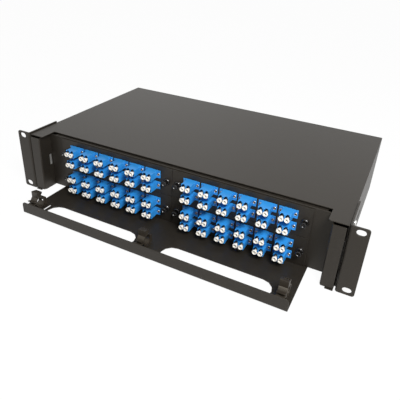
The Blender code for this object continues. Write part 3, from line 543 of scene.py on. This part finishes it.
@made_once
def satin_nylon(settings):
    """Satin nylon of the cable clips, paler and warmer than that of the latches."""
    finish = Finish("satin_nylon", Roughness=0.42, IOR=1.5, Specular_Tint=(1.0, 0.95, 0.82, 1.0))
    finish.vary_colour(finish.noise(0.006), settings.clip, 0.90, 1.12)
    finish.vary_roughness(finish.noise(0.003, 3), 0.36, 0.50)
    finish.bumpy(finish.noise(0.0012), 0.12, 0.0001)
    return finish.material


@made_once
def adapter_plastic(settings):
    """Satin blue polymer with a fine spark-eroded texture."""
    finish = Finish("adapter_plastic", Roughness=0.38, IOR=1.5)
    finish.vary_colour(finish.noise(0.008), settings.adapter, 0.94, 1.06)
    finish.vary_roughness(finish.noise(0.002), 0.33, 0.43)
    finish.bumpy(finish.noise(0.0005), 0.12, 0.00005)
    return finish.material


@made_once
def port_lining(settings):
    """Painted shade: a dark blue on the faces deep inside the adapters' ports and latch slots, where the
    polymer is the same blue as outside and little light reaches it.
    """
    finish = Finish("port_lining", Roughness=0.5, IOR=1.5, Specular_IOR_Level=0.2)
    finish.vary_colour(finish.noise(0.004), settings.pocket, 0.85, 1.15)
    finish.vary_roughness(finish.noise(0.002), 0.45, 0.55)
    finish.bumpy(finish.noise(0.0006), 0.10, 0.00005)
    return finish.material


@made_once
def cap_plastic(settings):
    """Off-white polyethylene with a soft sheen."""
    finish = Finish("cap_plastic", Roughness=0.40, IOR=1.5)
    finish.vary_colour(finish.noise(0.003), settings.cap, 0.95, 1.03)
    finish.vary_roughness(finish.noise(0.0015), 0.34, 0.46)
    finish.bumpy(finish.noise(0.0008), 0.08, 0.00005)
    return finish.material


@made_once
def eyelet_metal(settings):
    """Pressed metal eyelets, dull and a little yellow."""
    finish = Finish("eyelet_metal", Metallic=1.0, Roughness=0.42)
    finish.vary_colour(finish.noise(0.001), settings.eyelet, 0.85, 1.10)
    finish.vary_roughness(finish.noise(0.0006), 0.36, 0.46)
    finish.bumpy(finish.noise(0.0004), 0.08, 0.00003)
    return finish.material


@made_once
def tray_plastic(settings):
    """Pale grey moulded tray with a light matt texture."""
    finish = Finish("tray_plastic", Roughness=0.45, IOR=1.5)
    finish.vary_colour(finish.noise(0.02), settings.tray, 0.97, 1.02)
    finish.vary_roughness(finish.noise(0.003), 0.40, 0.52)
    finish.bumpy(finish.noise(0.0007), 0.10, 0.00005)
    return finish.material


# Adapters

def adapter_places(row):
    """Where a row's adapters are: their middles in X, their middle height, the front of their caps and the
    rear of their bodies."""
    settings = bpy.context.scene.patch_adapter
    low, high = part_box(row)
    half = settings.flange_width / 2
    places = np.linspace(low.x + half, high.x - half, settings.columns)
    return places, (low.z + high.z) / 2, low.y, high.y


def hollowed(x, y, z, filled):
    """The skin of a box that is divided at the given places along each axis: a face stands wherever a filled
    cell meets an empty one."""
    lines = [np.asarray(values, float) for values in (x, y, z)]
    index = np.arange(len(x) * len(y) * len(z)).reshape(len(x), len(y), len(z))
    grid = np.stack(np.meshgrid(*lines, indexing="ij"), axis=-1).reshape(-1, 3)
    cells = np.pad(np.asarray(filled, bool), 1)
    faces = []
    for axis in range(3):
        turned_cells, turned_index = np.moveaxis(cells, axis, 0), np.moveaxis(index, axis, 0)
        border = (turned_cells[1:] != turned_cells[:-1])[:, 1:-1, 1:-1]
        i, j, k = np.nonzero(border)
        corners = [turned_index[i, j, k], turned_index[i, j + 1, k], turned_index[i, j + 1, k + 1],
                   turned_index[i, j, k + 1]]
        faces.append(np.stack(corners, axis=-1))
    used, renumbered = np.unique(np.concatenate(faces), return_inverse=True)
    return grid[used], [renumbered.reshape(-1, 4)]


def adapter_body(settings, front, rear):
    """The block with two ports at each end, each with a short slot through the roof above it. The faces
    outside come first, then those inside the ports and slots, which take a painted shade."""
    half_width, half_height = settings.body_width / 2, settings.body_height / 2
    port, slot, pitch = settings.port_width / 2, settings.latch_width / 2, settings.port_pitch / 2
    floor_wall, roof_wall, skin = 0.0012, 0.0010, 0.0001
    x = [-half_width, -pitch - port, -pitch - slot, -pitch + slot, -pitch + port, pitch - port, pitch - slot,
         pitch + slot, pitch + port, half_width]
    y = [front, front + settings.latch_depth, front + settings.port_depth, rear - settings.port_depth,
         rear - settings.latch_depth, rear]
    z = [-half_height, floor_wall - half_height, half_height - roof_wall, half_height]
    # Across, cells 1 to 3 and 5 to 7 are the ports, and cells 2 and 6 are below the slots.
    filled = np.ones((len(x) - 1, len(y) - 1, len(z) - 1), bool)
    for first in (1, 5):
        for cells in ((0, 1), (3, 4)):
            filled[first:first + 3, cells, 1] = False
    for middle in (2, 6):
        filled[middle, [0, 4], 2] = False
    points, (faces,) = hollowed(x, y, z, filled)
    # The faces inside the ports and slots are kept apart so that they can take a painted shade.
    reach = np.array([half_width, (rear - front) / 2, half_height]) - skin
    inside = (np.abs(points[faces].mean(axis=1) - (0, (front + rear) / 2, 0)) < reach).all(axis=1)
    return points, [faces[~inside], faces[inside]]


def ear_span(settings):
    """Where an ear of the flange starts and ends, from the adapter's middle."""
    return settings.body_width / 2 - EAR_LAP, settings.flange_width / 2


def eyelet_ear(settings, side, front, back):
    """One ear of the flange as a ring: at angle u, its outer edge follows a rectangle and its inner edge a
    circle, each at the front and at the back."""
    inner, outer = ear_span(settings)
    half_width, half_height = (outer - inner) / 2, settings.flange_height / 2
    corner = atan2(half_height, half_width)
    u = np.sort(np.concatenate([angles(16), [corner, pi - corner, pi + corner, 2 * pi - corner]]))
    reach = np.minimum(half_width / np.maximum(np.abs(np.cos(u)), LEAST),
                       half_height / np.maximum(np.abs(np.sin(u)), LEAST))
    middle = side * (inner + outer) / 2
    clearance = 0.0004
    hole = settings.eyelet_radius + clearance
    rings = []
    for radius, y in ((reach, front), (hole, front), (hole, back), (reach, back)):
        rings.append(np.stack([middle + radius * np.cos(u), np.full(len(u), y), radius * np.sin(u)], axis=1))
    return np.concatenate(rings), [lattice(len(rings), len(u), wrap_rows=True)]


def adapter_shell(settings, front, rear, face):
    """One adapter: its body, and the two ears of its flange in front of the plate's face."""
    back = face - GAP
    ears = [eyelet_ear(settings, side, back - settings.flange_thickness, back) for side in (-1, 1)]
    return gathered([adapter_body(settings, front, rear), *ears])


def eyelet_ring(settings, face):
    """A pressed eyelet: a tube through the ear whose front end rolls over onto it."""
    bore, wall, length = settings.eyelet_radius, 0.0002, 0.0012
    profile = [
        (face + length, bore), (face - 0.0002, bore), (face - 0.0005, bore + 0.0003),
        (face - 0.0004, bore + 0.0007), (face, bore + 0.0010), (face + 0.0002, bore + 0.0006),
        (face + 0.0003, bore + wall), (face + length, bore + wall),
    ]
    return turned(profile, (0, 0, 0), sides=14, ring=True)


class PATCH_OT_adapters(Operator):
    """Makes the duplex adapters, a row at a time, with their eyelets"""
    bl_idname = "patch_drawer.adapters"
    bl_label = "Adapters"

    def execute(self, context):
        settings = context.scene.patch_adapter
        middle = sum(ear_span(settings)) / 2
        for plate, level in ROWS:
            face = plate_face(plate)
            row = f"adapters_{plate}_{level}_row"
            places, z, cap_front, rear = adapter_places(row)
            one = adapter_shell(settings, cap_front + settings.cap_stand, rear, face)
            bodies = moved(one, [(x, 0, z) for x in places])
            # The faces inside the ports and latch slots are painted a darker blue as their shade.
            shaped(f"adapter_bodies_{plate}_{level}", bodies, adapter_plastic(), f"plate_{plate}",
                   edge=settings.body_edge, stands_for=(row,), painted_shade=port_lining())
            ring = eyelet_ring(settings, face - GAP - settings.flange_thickness)
            offsets = [(x + side * middle, 0, z) for x in places for side in (-1, 1)]
            shaped(f"eyelets_{plate}_{level}", moved(ring, offsets), eyelet_metal(), f"plate_{plate}")
        return {"FINISHED"}


def dust_cap(settings, front):
    """A turned cap: a dished head with a rolled rim, a waist, and a plug that runs into the port."""
    r, plug_length = settings.cap_radius, 0.0062
    body = front + settings.cap_stand
    plug = body + plug_length
    profile = [
        (front + 0.0026, 0), (front + 0.0025, r * 0.32), (front + 0.0010, r * 0.42),
        (front + 0.0002, r * 0.48), (front, r * 0.58), (front, r * 0.84), (front + 0.0003, r * 0.96),
        (front + 0.0008, r), (front + 0.0016, r * 0.97), (front + 0.0022, r * 0.82),
        (front + 0.0029, r * 0.66), (body + 0.0006, r * 0.60), (body + 0.0012, r * 0.40), (plug, r * 0.38),
        (plug, 0),
    ]
    return turned(profile, (0, 0, 0))


class PATCH_OT_dust_caps(Operator):
    """Makes a dust cap for every port"""
    bl_idname = "patch_drawer.dust_caps"
    bl_label = "Dust caps"

    def execute(self, context):
        settings = context.scene.patch_adapter
        port = settings.port_pitch / 2
        for plate, level in ROWS:
            row = f"adapters_{plate}_{level}_row"
            places, z, cap_front, _ = adapter_places(row)
            offsets = [(x + side * port, 0, z) for x in places for side in (-1, 1)]
            shaped(f"dust_caps_{plate}_{level}", moved(dust_cap(settings, cap_front), offsets), cap_plastic(),
                   f"plate_{plate}")
        return {"FINISHED"}


# Sheet metal

class PATCH_OT_sheet_metal(Operator):
    """Shows the folded sheets with softened edges under powder coat"""
    bl_idname = "patch_drawer.sheet_metal"
    bl_label = "Sheet metal"

    def execute(self, context):
        edge = context.scene.patch_sheet.edge
        nodes = ["chassis_base", "rear_panel", "top_cover", "shelf_tray", "drawer_back", "adapter_frame"]
        nodes += [f"rack_ear_{side}" for side in SIDES]
        nodes += [f"drawer_side_{side}" for side in SIDES]
        nodes += [f"adapter_plate_{plate}" for plate in PLATES]
        for node in nodes:
            softened(node, edge, powder_coat())
        return {"FINISHED"}


class PATCH_OT_slides(Operator):
    """Shows the slides with softened edges, and makes their front stops and the screws of the ears"""
    bl_idname = "patch_drawer.slides"
    bl_label = "Slides and screws"

    def execute(self, context):
        edge = context.scene.patch_sheet.slide_edge
        for side in SIDES:
            for member in ("outer", "middle", "inner"):
                softened(f"slide_{member}_{side}", edge, zinc_plate())
            for level in reversed(LEVELS):
                self.screw(f"ear_screw_{side}_{level}", 1 if side == "right" else -1)
            self.stop(side)
        return {"FINISHED"}

    def stop(self, side):
        """A plastic stop on the front end of the outer member, cut to the member's own section."""
        low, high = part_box(f"slide_outer_{side}")
        web, lips = (high.x, low.x) if side == "right" else (low.x, high.x)
        inward = SHEET if lips > web else -SHEET
        section = [
            (web, low.z), (lips, low.z), (lips, low.z + SHEET), (web + inward, low.z + SHEET),
            (web + inward, high.z - SHEET), (lips, high.z - SHEET), (lips, high.z), (web, high.z),
        ]
        clearance, thickness = 0.0001, 0.0007
        back = low.y - clearance
        shaped(f"slide_stop_{side}", drawn(section, back - thickness, back), black_nylon(), "root",
               edge=0.0001)

    def screw(self, node, side):
        """A pan head with a round recess, on a plain shank. The dome is (depth, radius) from outside in."""
        low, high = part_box(node)
        middle = (low + high) / 2
        outer, inner = (high.x, low.x) if side > 0 else (low.x, high.x)
        radius, shank, recess, length = (high.z - low.z) / 2, 0.0018, 0.0010, abs(outer - inner)
        dome = [
            (recess, 0), (recess, 0.0012), (0.0002, 0.0014), (0, 0.0018), (0.0003, radius * 0.80),
            (0.0008, radius * 0.96), (0.0016, radius), (0.0016, shank), (length, shank), (length, 0),
        ]
        profile = [(outer - side * depth, r) for depth, r in dome]
        shell = turned(profile, (0, middle.y, middle.z), sides=18, along="x")
        shaped(f"{node}_turned", shell, zinc_plate(), "root", stands_for=(node,))


# Latches of the plates

class PATCH_OT_latches(Operator):
    """Makes the push latches that hold the plates, and the collars that they run in"""
    bl_idname = "patch_drawer.latches"
    bl_label = "Push latches"

    def execute(self, context):
        for plate in PLATES:
            face = plate_face(plate)
            for end in ("inner", "outer"):
                node = f"plunger_{plate}_{end}"
                low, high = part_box(node)
                centre = middle_line(low, high)
                self.plunger(node, centre, low.y, high.y, f"latch_{plate}_{end}")
                self.collar(f"collar_{plate}_{end}", centre, face, f"plate_{plate}")
        return {"FINISHED"}

    def plunger(self, node, centre, front, rear, body):
        """A mushroom head with a dished face, on a stem that ends in a cone."""
        r, stem = 0.0037, 0.0023
        profile = [
            (front + 0.0011, 0), (front + 0.0011, r * 0.50), (front + 0.0007, r * 0.62),
            (front + 0.0001, r * 0.70), (front, r * 0.80), (front + 0.0003, r * 0.93), (front + 0.0010, r),
            (front + 0.0018, r * 0.98), (front + 0.0025, r * 0.86), (front + 0.0027, stem * 1.1),
            (front + 0.0034, stem), (rear - 0.0020, stem), (rear - 0.0004, stem * 0.62), (rear, stem * 0.30),
            (rear, 0),
        ]
        shaped(f"{node}_turned", turned(profile, centre, sides=20), black_nylon(), body,
               stands_for=(node,))

    def collar(self, name, centre, face, body):
        """A stepped ring on the plate with a rounded lip round the stem."""
        outer, bore, stand, reach = 0.0050, 0.0028, 0.0021, 0.0009
        front, back = face - stand, face + reach
        profile = [
            (face - 0.0001, outer), (face - 0.0006, outer * 0.99), (face - 0.0010, outer * 0.93),
            (front + 0.0003, outer * 0.86), (front, outer * 0.78), (front, bore + 0.0006),
            (front + 0.0003, bore), (back, bore), (back, outer * 0.9),
        ]
        shaped(name, turned(profile, centre, sides=24, ring=True), black_nylon(), body)


# Clips

class PATCH_OT_clips(Operator):
    """Shows the hinged cable clips with softened edges in satin nylon"""
    bl_idname = "patch_drawer.clips"
    bl_label = "Cable clips"

    def execute(self, context):
        edge = context.scene.patch_sheet.moulded_edge
        for clip in CLIPS:
            softened(f"clip_base_{clip}", edge, satin_nylon())
            softened(f"clip_gate_{clip}", edge, satin_nylon())
        return {"FINISHED"}


# Cable entries

class PATCH_OT_cable_entries(Operator):
    """Makes the ribbed cable glands, their locknuts and the blanking plugs of the rear panel"""
    bl_idname = "patch_drawer.cable_entries"
    bl_label = "Cable entries"

    def execute(self, context):
        edge = context.scene.patch_sheet.moulded_edge
        for side in SIDES:
            self.gland(side)
            softened(f"gland_locknut_{side}", edge, black_nylon())
            self.plug(side)
        return {"FINISHED"}

    def gland(self, side):
        """A hexagon with chamfered corners, a dome whose radius swings with the angle to make grip ribs, and
        a thread whose radius rises and falls along the axis."""
        node = f"gland_body_{side}"
        low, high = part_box(node)
        centre = middle_line(low, high)
        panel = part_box("rear_panel")[1].y
        bore, neck, thread, thread_depth, pitch = 0.005, 0.0095, 0.0099, 0.0006, 0.00132
        nut_height, nut_corner, thread_start, thread_steps = 0.006, 0.0134, 0.0004, 13
        hexagon = panel + GAP
        dome = hexagon + nut_height
        step = np.arange(thread_steps)
        places = low.y + thread_start + step * pitch / 2
        threads = np.stack([places, thread - thread_depth * (step % 2)], axis=1)
        body = [
            (high.y - 0.0004, bore), (high.y, bore + 0.0006), (high.y, 0.0078), (high.y - 0.0012, 0.0092),
            (high.y - 0.0056, 0.0112), (dome + 0.0012, 0.0115), (dome + 0.0004, 0.0110), (dome, 0.0100),
            (dome, neck), (panel - SHEET - GAP, neck),
        ]
        profile = body + threads[::-1].tolist() + [(low.y, 0.0090), (low.y, bore)]
        sides, ribs, rib_depth = 72, 24, 0.022
        grip = (slice(3, 7), 1 + rib_depth * np.cos(ribs * angles(sides)))
        shell = gathered([
            turned(profile, centre, sides=sides, ring=True, ribs=grip),
            self.nut(centre, hexagon, dome, nut_corner, thread),
        ])
        shaped(f"{node}_turned", shell, black_nylon(), "root", stands_for=(node,))

    def nut(self, centre, front, back, corner, bore):
        """A six-sided ring: its outer radius at angle u is a hexagon's, held to a circle at both faces."""
        sides, chamfer, face_share = 48, 0.0008, 0.93
        u = angles(sides)
        flat = corner * np.cos(pi / 6) / np.cos((u % (pi / 3)) - pi / 6)
        held = np.minimum(flat, corner * face_share)
        inside = np.full(sides, bore)
        rings = [(front, held), (front + chamfer, flat), (back - chamfer, flat), (back, held), (back, inside),
                 (front, inside)]
        points = np.concatenate([
            np.stack([radius * np.sin(u), np.full(sides, y), radius * np.cos(u)], axis=1)
            for y, radius in rings
        ])
        return points + np.array(centre), [lattice(len(rings), sides, wrap_rows=True)]

    def plug(self, side):
        """A snap-in plug: a domed head with a thin rim, on a hollow stem."""
        node = f"blanking_plug_{side}"
        low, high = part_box(node)
        centre = middle_line(low, high)
        r, stem, bore = (high.z - low.z) / 2, 0.0098, 0.0084
        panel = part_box("rear_panel")[1].y + GAP
        inside = panel - 0.001
        profile = [
            (high.y - 0.0002, 0), (high.y - 0.0001, r * 0.4), (high.y, r * 0.70), (high.y - 0.0005, r * 0.86),
            (high.y - 0.0014, r * 0.97), (high.y - 0.0022, r), (panel, r), (panel, stem),
            (low.y + 0.0005, stem), (low.y, stem - 0.0004), (low.y, bore), (inside, bore), (inside, 0),
        ]
        shaped(f"{node}_turned", turned(profile, centre, sides=40), black_nylon(), "root",
               stands_for=(node,))


# Inside the drawer

class PATCH_OT_splice_gear(Operator):
    """Shows the splice tray, its lid, stud and knob, and the fibre guides"""
    bl_idname = "patch_drawer.splice_gear"
    bl_label = "Splice gear"

    def execute(self, context):
        edge = context.scene.patch_sheet.moulded_edge
        softened("splice_tray", edge, tray_plastic())
        softened("splice_tray_lid", edge, tray_plastic())
        softened("splice_stud", edge, zinc_plate())
        self.knob("splice_knob")
        for side in SIDES:
            softened(f"fibre_guide_{side}", edge, black_nylon())
        return {"FINISHED"}

    def knob(self, node):
        """A knurled thumb nut: its radius swings with the angle, and both ends are chamfered."""
        low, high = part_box(node)
        centre = ((low.x + high.x) / 2, (low.y + high.y) / 2, 0)
        r, bore = (high.x - low.x) / 2, 0.0029
        profile = [
            (low.z, bore), (low.z, r * 0.93), (low.z + 0.0005, r), (high.z - 0.0012, r * 0.90),
            (high.z - 0.0004, r * 0.86), (high.z, r * 0.78), (high.z, bore),
        ]
        sides, knurl_depth = 60, 0.05
        knurl = (slice(1, 5), 1 - knurl_depth * (np.arange(sides) % 2))
        shell = turned(profile, centre, sides=sides, along="z", ring=True, ribs=knurl)
        shaped(f"{node}_turned", shell, black_nylon(), body_of(node), stands_for=(node,))


# Stage

def seen_directly(tree):
    """1 for camera, glossy and transmission rays, else 0."""
    path = tree.nodes.new("ShaderNodeLightPath")
    seen = path.outputs["Is Camera Ray"]
    for ray in ("Is Glossy Ray", "Is Transmission Ray"):
        either = tree.nodes.new("ShaderNodeMath")
        either.operation = "MAXIMUM"
        tree.links.new(seen, either.inputs[0])
        tree.links.new(path.outputs[ray], either.inputs[1])
        seen = either.outputs[0]
    return seen


class PATCH_OT_stage(Operator):
    """Sets the camera, the lamps, the white surroundings and the floor"""
    bl_idname = "patch_drawer.stage"
    bl_label = "Stage"

    def execute(self, context):
        stage = context.scene.patch_stage
        context.scene.view_settings.view_transform = "Standard"
        self.camera(context, stage)
        self.surroundings(context, stage)
        self.floor(context, stage)
        for name, (place, target, size, power) in LAMPS.items():
            self.lamp(context, name, place, target, size, getattr(stage, power))
        return {"FINISHED"}

    def camera(self, context, stage):
        """The view's axes: straight back from the azimuth and elevation, then rolled about that line."""
        data = bpy.data.cameras.new("camera")
        data.lens = stage.lens
        data.sensor_width = 36
        data.shift_y = stage.shift
        data.clip_start, data.clip_end = 0.01, 50
        camera = bpy.data.objects.new("camera", data)
        context.scene.collection.objects.link(camera)
        back = Vector((
            np.sin(stage.azimuth) * np.cos(stage.elevation),
            -np.cos(stage.azimuth) * np.cos(stage.elevation),
            np.sin(stage.elevation),
        ))
        right = (-back).cross(Vector((0, 0, 1))).normalized()
        up = right.cross(-back)
        turned_right = right * np.cos(stage.roll) + up * np.sin(stage.roll)
        turned_up = up * np.cos(stage.roll) - right * np.sin(stage.roll)
        axes = Matrix((turned_right, turned_up, back)).transposed().to_4x4()
        camera.matrix_world = Matrix.Translation(Vector(stage.camera_place)) @ axes
        context.scene.camera = camera

    def lamp(self, context, name, place, target, size, power):
        """A round lamp at a place, aimed at a target."""
        data = bpy.data.lights.new(name, "AREA")
        data.shape = "DISK"
        data.size = size
        data.energy = power
        lamp = bpy.data.objects.new(name, data)
        context.scene.collection.objects.link(lamp)
        lamp.location = place
        lamp.rotation_euler = (Vector(target) - Vector(place)).to_track_quat("-Z", "Y").to_euler()

    def surroundings(self, context, stage):
        """White to the camera and in reflections, and softer as a light."""
        world = bpy.data.worlds.new("surroundings")
        context.scene.world = world
        world.use_nodes = True
        tree = world.node_tree
        background = tree.nodes["Background"]
        background.inputs["Color"].default_value = (1, 1, 1, 1)
        strength = tree.nodes.new("ShaderNodeMapRange")
        strength.inputs["To Min"].default_value = stage.fill
        strength.inputs["To Max"].default_value = 1.0
        tree.links.new(seen_directly(tree), strength.inputs["Value"])
        tree.links.new(strength.outputs["Result"], background.inputs["Strength"])

    def floor(self, context, stage):
        """A wide flat floor just under the chassis, pure white apart from a trace of the shadow."""
        half, drop, steps = stage.floor_size / 2, 0.0006, 8
        line = np.linspace(-half, half, steps + 1)
        u, v = np.meshgrid(line, line, indexing="ij")
        points = np.stack([u, v, np.full_like(u, CAD_BOX[0].z - drop)], axis=-1).reshape(-1, 3)
        index = np.arange(u.size).reshape(u.shape)
        corners = [index[:-1, :-1], index[1:, :-1], index[1:, 1:], index[:-1, 1:]]
        faces = np.stack(corners, axis=-1).reshape(-1, 4)
        mesh = bpy.data.meshes.new("floor")
        mesh.from_pydata(points.tolist(), [], faces.tolist())
        floor = bpy.data.objects.new("floor", mesh)
        context.scene.collection.objects.link(floor)
        mesh.materials.append(self.floor_finish(stage))

    def floor_finish(self, stage):
        """A grey floor for the light that lamps throw, which glows white wherever it is seen directly."""
        finish = Finish("white_floor", Roughness=0.9, Base_Color=(0.55, 0.55, 0.55, 1))
        finish.bumpy(finish.noise(0.01), 0.05, 0.0002)
        glow = finish.add("ShaderNodeEmission", Color=(1, 1, 1, 1), Strength=stage.floor_glow)
        tree = finish.tree
        share = tree.nodes.new("ShaderNodeMath")
        share.operation = "MULTIPLY"
        share.inputs[1].default_value = 1 - stage.shadow_share
        tree.links.new(seen_directly(tree), share.inputs[0])
        mix = tree.nodes.new("ShaderNodeMixShader")
        tree.links.new(share.outputs[0], mix.inputs["Fac"])
        tree.links.new(finish.shader.outputs["BSDF"], mix.inputs[1])
        tree.links.new(glow.outputs["Emission"], mix.inputs[2])
        tree.links.new(mix.outputs["Shader"], tree.nodes["Material Output"].inputs["Surface"])
        return finish.material


# Panel and registration

class PATCH_PT_sidebar(Panel):
    """Lists the drawer's pieces and settings"""
    bl_idname = "PATCH_PT_sidebar"
    bl_label = "Patch drawer"
    bl_space_type = "VIEW_3D"
    bl_region_type = "UI"
    bl_category = "Patch drawer"

    def draw(self, context):
        for name, (group, title) in SETTINGS.items():
            box = self.layout.box()
            box.label(text=title)
            for setting in group.__annotations__:
                box.prop(getattr(context.scene, name), setting)
        for operator in OPERATORS:
            self.layout.operator(operator.bl_idname)


SETTINGS = {
    "patch_finish": (PatchFinishSettings, "Finishes"),
    "patch_sheet": (PatchSheetSettings, "Edges"),
    "patch_adapter": (PatchAdapterSettings, "Adapters"),
    "patch_stage": (PatchStageSettings, "Stage"),
}
OPERATORS = (
    PATCH_OT_sheet_metal,
    PATCH_OT_slides,
    PATCH_OT_adapters,
    PATCH_OT_dust_caps,
    PATCH_OT_latches,
    PATCH_OT_clips,
    PATCH_OT_cable_entries,
    PATCH_OT_splice_gear,
    PATCH_OT_stage,
)


def register():
    for name, (group, _) in SETTINGS.items():
        bpy.utils.register_class(group)
        setattr(bpy.types.Scene, name, PointerProperty(type=group))
    for shown in (*OPERATORS, PATCH_PT_sidebar):
        bpy.utils.register_class(shown)


def unregister():
    for shown in (PATCH_PT_sidebar, *reversed(OPERATORS)):
        bpy.utils.unregister_class(shown)
    for name, (group, _) in SETTINGS.items():
        delattr(bpy.types.Scene, name)
        bpy.utils.unregister_class(group)


def main():
    register()
    bpy.ops.patch_drawer.sheet_metal()
    bpy.ops.patch_drawer.slides()
    bpy.ops.patch_drawer.adapters()
    bpy.ops.patch_drawer.dust_caps()
    bpy.ops.patch_drawer.latches()
    bpy.ops.patch_drawer.clips()
    bpy.ops.patch_drawer.cable_entries()
    bpy.ops.patch_drawer.splice_gear()
    bpy.ops.patch_drawer.stage()


if __name__ == "__main__":
    main()
